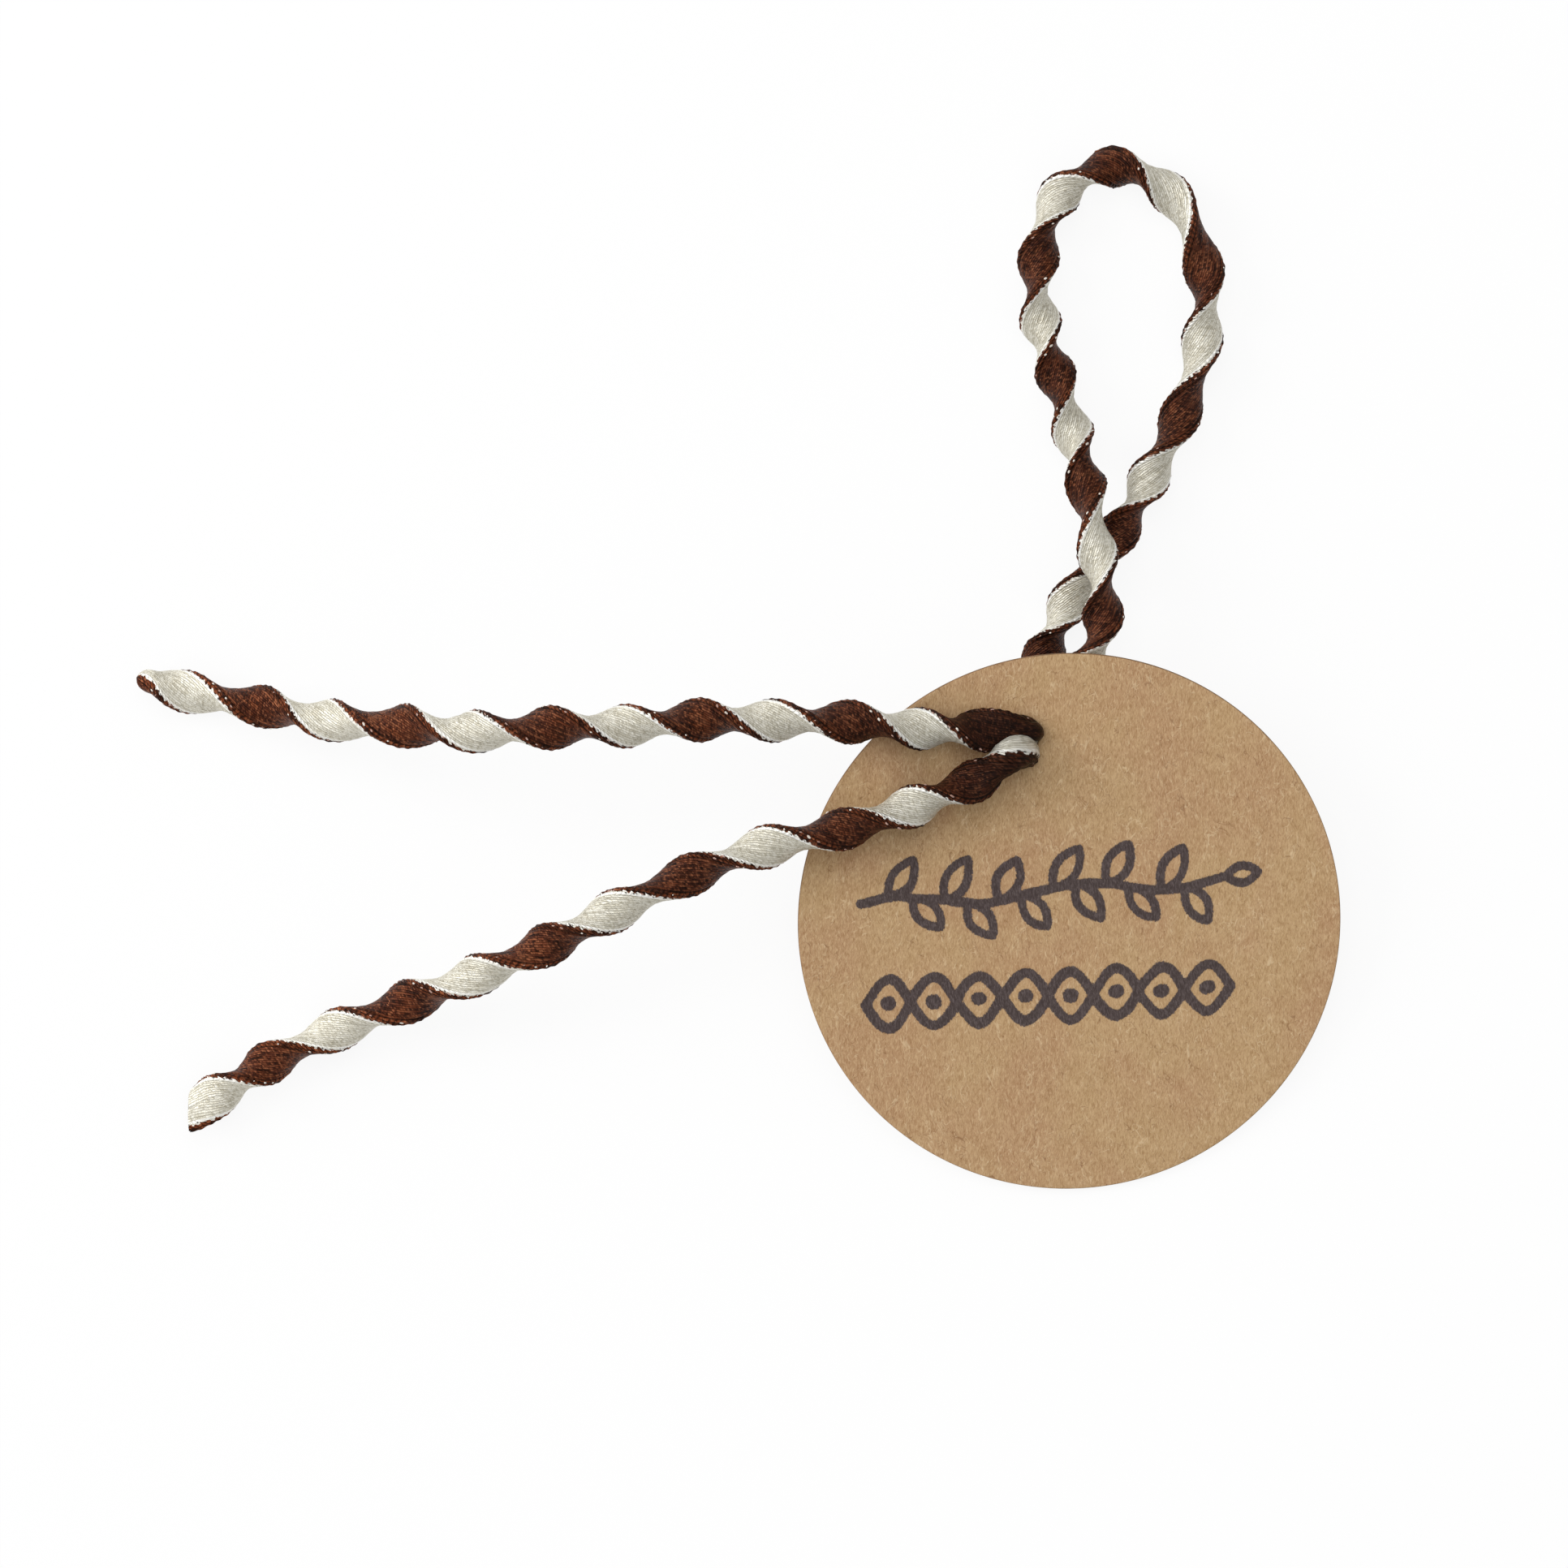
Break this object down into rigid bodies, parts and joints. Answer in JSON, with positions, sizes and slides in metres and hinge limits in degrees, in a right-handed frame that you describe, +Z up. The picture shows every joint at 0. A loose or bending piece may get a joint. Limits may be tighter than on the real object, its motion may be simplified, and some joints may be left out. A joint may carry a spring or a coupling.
{
  "type": "hang tag",
  "caption": "Round kraft hang tag with a punched hole, on a doubled twisted satin ribbon that makes a hanging loop behind it and two free ends over its face.",
  "frame": {"origin": "on the table that the tag lies on, under the centre of the card", "axes": "+Z up out of the card's face, +Y from the card's centre towards the loop, +X to the reader's right"},
  "size_m": [0.0891, 0.0754, 0.0115],
  "materials": {
    "kraft_board": "matte, uncoated",
    "two_tone_satin": "satin, brown on one face and cream on the other"
  },
  "bodies": {
    "card": {"kraft_card": "kraft_board"},
    "neck": {"ribbon_neck_upper": "two_tone_satin", "ribbon_neck_lower": "two_tone_satin"},
    "loop": {"ribbon_rise_left": "two_tone_satin", "ribbon_rise_right": "two_tone_satin", "ribbon_loop": "two_tone_satin"},
    "upper_tail": {"ribbon_tail_upper": "two_tone_satin"},
    "lower_tail": {"ribbon_tail_lower": "two_tone_satin"}
  },
  "joints": [
    {"name": "ribbon_swivel", "type": "hinge", "parent": "card", "child": "neck", "pos_m": [-0.0038, 0.01325, 0.00615], "axis": [0.0479, -0.1669, 0.9848], "continuous": true},
    {"name": "loop_fold", "type": "hinge", "parent": "neck", "child": "loop", "pos_m": [-0.00472, 0.01176, 0.00564], "axis": [-0.863, 0.4895, 0.1249], "range_deg": [0, 110]},
    {"name": "upper_tail_lift", "type": "hinge", "parent": "neck", "child": "upper_tail", "pos_m": [-0.00806, 0.01372, 0.01009], "axis": [0.0523, 0.9986, 0], "range_deg": [0, 90]},
    {"name": "lower_tail_lift", "type": "hinge", "parent": "neck", "child": "lower_tail", "pos_m": [-0.00805, 0.00956, 0.00939], "axis": [-0.3256, 0.9455, 0], "range_deg": [0, 90]}
  ]
}
